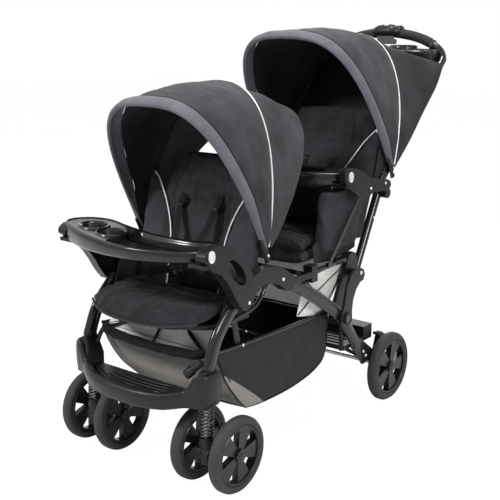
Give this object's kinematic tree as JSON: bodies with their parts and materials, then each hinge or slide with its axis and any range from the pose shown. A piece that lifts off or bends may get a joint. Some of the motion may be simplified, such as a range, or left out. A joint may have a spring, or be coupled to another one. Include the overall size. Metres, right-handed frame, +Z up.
{
  "type": "sit and stand stroller",
  "caption": "Folding tandem pushchair with two padded seats, canopies and trays, a rear standing step, a basket and sprung dual front casters.",
  "frame": {"origin": "middle of the footprint, on the floor", "axes": "+Z up, the children face -Y, +X is their left"},
  "size_m": [0.5466, 1.301, 1.115],
  "materials": {
    "black_plastic": "satin moulded plastic",
    "gloss_plastic": "glossy moulded plastic",
    "grey_plastic": "satin moulded plastic",
    "silver_plastic": "silver painted plastic",
    "black_tube": "gloss black powder coat",
    "steel": "bright steel",
    "tyre": "satin dark grey rubber",
    "foam": "matte foam grip",
    "black_cloth": "woven black polyester",
    "grey_cloth": "woven grey polyester",
    "mesh_cloth": "woven grey polyester with mesh"
  },
  "bodies": {
    "chassis": {"footrest": "black_plastic", "rear_axle": "steel", "rear_step": "black_plastic", "basket": "mesh_cloth", "front_seat_board": "black_plastic", "front_seat_pad": "black_cloth", "front_canopy_rear": "black_cloth", "front_leg_left": "black_plastic", "front_leg_right": "black_plastic", "rear_leg_left": "black_tube", "rear_leg_right": "black_tube", "side_arch_left": "black_plastic", "side_arch_right": "black_plastic", "front_armrest_left": "black_plastic", "front_armrest_right": "black_plastic"},
    "caster_left": {"caster_stem_left": "steel", "caster_spring_left": "steel"},
    "fork_left": {"caster_fork_left": "black_plastic"},
    "front_outer_wheel_left": {"front_outer_wheel_left_tyre": "tyre", "front_outer_wheel_left_rim": "black_plastic"},
    "front_inner_wheel_left": {"front_inner_wheel_left_tyre": "tyre", "front_inner_wheel_left_rim": "black_plastic"},
    "rear_wheel_left": {"rear_wheel_left_tyre": "tyre", "rear_wheel_left_rim": "black_plastic"},
    "brake_left": {"brake_pedal_left": "black_plastic"},
    "front_tray_button_left": {"front_tray_button_left": "silver_plastic"},
    "caster_right": {"caster_stem_right": "steel", "caster_spring_right": "steel"},
    "fork_right": {"caster_fork_right": "black_plastic"},
    "front_outer_wheel_right": {"front_outer_wheel_right_tyre": "tyre", "front_outer_wheel_right_rim": "black_plastic"},
    "front_inner_wheel_right": {"front_inner_wheel_right_tyre": "tyre", "front_inner_wheel_right_rim": "black_plastic"},
    "rear_wheel_right": {"rear_wheel_right_tyre": "tyre", "rear_wheel_right_rim": "black_plastic"},
    "brake_right": {"brake_pedal_right": "black_plastic"},
    "front_tray_button_right": {"front_tray_button_right": "silver_plastic"},
    "handle": {"handle_tube": "black_tube", "handle_grip": "foam", "fold_console": "black_plastic", "parent_tray": "gloss_plastic", "fold_bracket_left": "black_plastic", "fold_bracket_right": "black_plastic", "rear_seat_back": "black_cloth", "rear_canopy_rear": "black_cloth"},
    "rear_seat": {"rear_seat_frame": "black_tube", "rear_seat_pad": "black_cloth"},
    "rear_armrests": {"rear_armrest_left": "black_plastic", "rear_armrest_right": "black_plastic"},
    "rear_strut_left": {"rear_strut_left": "steel"},
    "rear_strut_right": {"rear_strut_right": "steel"},
    "rear_tray_button_left": {"rear_tray_button_left": "silver_plastic"},
    "rear_tray_button_right": {"rear_tray_button_right": "silver_plastic"},
    "front_tray": {"front_tray": "gloss_plastic"},
    "rear_tray": {"rear_tray": "gloss_plastic"},
    "front_seat_back": {"front_seat_back": "black_cloth"},
    "front_canopy_front": {"front_canopy_front": "grey_cloth"},
    "rear_canopy_front": {"rear_canopy_front": "grey_cloth"},
    "fold_trigger": {"fold_trigger": "grey_plastic"},
    "lock_button": {"lock_button": "silver_plastic"}
  },
  "joints": [
    {"name": "caster_left_swivel", "type": "hinge", "parent": "chassis", "child": "caster_left", "pos_m": [0.1963, -0.5395, 0.25], "axis": [0, 0, 1], "continuous": true},
    {"name": "caster_left_suspension", "type": "slide", "parent": "caster_left", "child": "fork_left", "axis": [0, 0, 1], "range_m": [0, 0.01], "stiffness_N_per_m": 9000, "springref_m": -0.01, "deforming": ["caster_spring_left"]},
    {"name": "front_outer_wheel_left_spin", "type": "hinge", "parent": "fork_left", "child": "front_outer_wheel_left", "pos_m": [0.257, -0.4995, 0.09765], "axis": [1, 0, 0], "continuous": true},
    {"name": "front_inner_wheel_left_spin", "type": "hinge", "parent": "fork_left", "child": "front_inner_wheel_left", "pos_m": [0.1356, -0.4995, 0.09765], "axis": [1, 0, 0], "continuous": true},
    {"name": "rear_wheel_left_spin", "type": "hinge", "parent": "chassis", "child": "rear_wheel_left", "pos_m": [0.257, 0.2415, 0.1045], "axis": [1, 0, 0], "continuous": true},
    {"name": "brake_left_press", "type": "hinge", "parent": "chassis", "child": "brake_left", "pos_m": [0.2068, 0.2415, 0.1045], "axis": [-1, 0, 0], "range_deg": [0, 18]},
    {"name": "front_tray_left_button_press", "type": "slide", "parent": "chassis", "child": "front_tray_button_left", "axis": [-1, 0, 0], "range_m": [0, 0.003], "stiffness_N_per_m": 500, "springref_m": -0.002},
    {"name": "caster_right_swivel", "type": "hinge", "parent": "chassis", "child": "caster_right", "pos_m": [-0.1963, -0.5395, 0.25], "axis": [0, 0, 1], "continuous": true},
    {"name": "caster_right_suspension", "type": "slide", "parent": "caster_right", "child": "fork_right", "axis": [0, 0, 1], "range_m": [0, 0.01], "stiffness_N_per_m": 9000, "springref_m": -0.01, "deforming": ["caster_spring_right"]},
    {"name": "front_outer_wheel_right_spin", "type": "hinge", "parent": "fork_right", "child": "front_outer_wheel_right", "pos_m": [-0.257, -0.4995, 0.09765], "axis": [1, 0, 0], "continuous": true},
    {"name": "front_inner_wheel_right_spin", "type": "hinge", "parent": "fork_right", "child": "front_inner_wheel_right", "pos_m": [-0.1356, -0.4995, 0.09765], "axis": [1, 0, 0], "continuous": true},
    {"name": "rear_wheel_right_spin", "type": "hinge", "parent": "chassis", "child": "rear_wheel_right", "pos_m": [-0.257, 0.2415, 0.1045], "axis": [1, 0, 0], "continuous": true},
    {"name": "brake_right_press", "type": "hinge", "parent": "chassis", "child": "brake_right", "pos_m": [-0.2068, 0.2415, 0.1045], "axis": [-1, 0, 0], "range_deg": [0, 18]},
    {"name": "front_tray_right_button_press", "type": "slide", "parent": "chassis", "child": "front_tray_button_right", "axis": [1, 0, 0], "range_m": [0, 0.003], "stiffness_N_per_m": 500, "springref_m": -0.002},
    {"name": "frame_fold", "type": "hinge", "parent": "chassis", "child": "handle", "pos_m": [0, 0.0155, 0.312], "axis": [1, 0, 0], "range_deg": [0, 70], "deforming": ["front_canopy_rear", "front_canopy_front", "rear_canopy_front", "rear_canopy_rear", "front_seat_back", "rear_seat_back"]},
    {"name": "rear_seat_fold", "type": "hinge", "parent": "handle", "child": "rear_seat", "pos_m": [0, 0.0915, 0.47], "axis": [1, 0, 0], "range_deg": [-89, 0]},
    {"name": "rear_armrest_fold", "type": "hinge", "parent": "handle", "child": "rear_armrests", "pos_m": [0, 0.2395, 0.636], "axis": [1, 0, 0], "range_deg": [-89, 0]},
    {"name": "rear_strut_left_fold", "type": "hinge", "parent": "rear_seat", "child": "rear_strut_left", "pos_m": [0.215, -0.0345, 0.474], "axis": [1, 0, 0], "range_deg": [0, 89]},
    {"name": "rear_strut_right_fold", "type": "hinge", "parent": "rear_seat", "child": "rear_strut_right", "pos_m": [-0.215, -0.0345, 0.474], "axis": [1, 0, 0], "range_deg": [0, 89]},
    {"name": "rear_tray_left_button_press", "type": "slide", "parent": "rear_armrests", "child": "rear_tray_button_left", "axis": [-1, 0, 0], "range_m": [0, 0.003], "stiffness_N_per_m": 500, "springref_m": -0.002},
    {"name": "rear_tray_right_button_press", "type": "slide", "parent": "rear_armrests", "child": "rear_tray_button_right", "axis": [1, 0, 0], "range_m": [0, 0.003], "stiffness_N_per_m": 500, "springref_m": -0.002},
    {"name": "front_tray_swing", "type": "hinge", "parent": "chassis", "child": "front_tray", "pos_m": [-0.203, -0.5775, 0.603], "axis": [0, 0, 1], "range_deg": [-75, 0]},
    {"name": "rear_tray_swing", "type": "hinge", "parent": "rear_armrests", "child": "rear_tray", "pos_m": [-0.203, 0.0255, 0.703], "axis": [0, 0, 1], "range_deg": [-25, 0]},
    {"name": "front_seat_recline", "type": "hinge", "parent": "chassis", "child": "front_seat_back", "pos_m": [0, -0.3482, 0.452], "axis": [1, 0, 0], "range_deg": [-20, 0]},
    {"name": "front_canopy_fold", "type": "hinge", "parent": "chassis", "child": "front_canopy_front", "pos_m": [0, -0.3215, 0.556], "axis": [1, 0, 0], "range_deg": [-36, 0], "deforming": ["front_canopy_front", "front_canopy_rear"]},
    {"name": "rear_canopy_fold", "type": "hinge", "parent": "handle", "child": "rear_canopy_front", "pos_m": [0, 0.2855, 0.692], "axis": [1, 0, 0], "range_deg": [-36, 0], "deforming": ["rear_canopy_front", "rear_canopy_rear"]},
    {"name": "fold_trigger_pull", "type": "slide", "parent": "handle", "child": "fold_trigger", "axis": [0, 0, 1], "range_m": [0, 0.006], "stiffness_N_per_m": 600, "springref_m": -0.004},
    {"name": "lock_button_press", "type": "slide", "parent": "handle", "child": "lock_button", "axis": [0, 0, -1], "range_m": [0, 0.0025], "stiffness_N_per_m": 500, "springref_m": -0.002}
  ],
  "couplings": [
    {"joint": "rear_seat_fold", "follows": "frame_fold", "ratio": -1.2667},
    {"joint": "rear_armrest_fold", "follows": "frame_fold", "ratio": -1.2667},
    {"joint": "rear_strut_left_fold", "follows": "frame_fold", "ratio": 1.2667},
    {"joint": "rear_strut_right_fold", "follows": "frame_fold", "ratio": 1.2667}
  ]
}
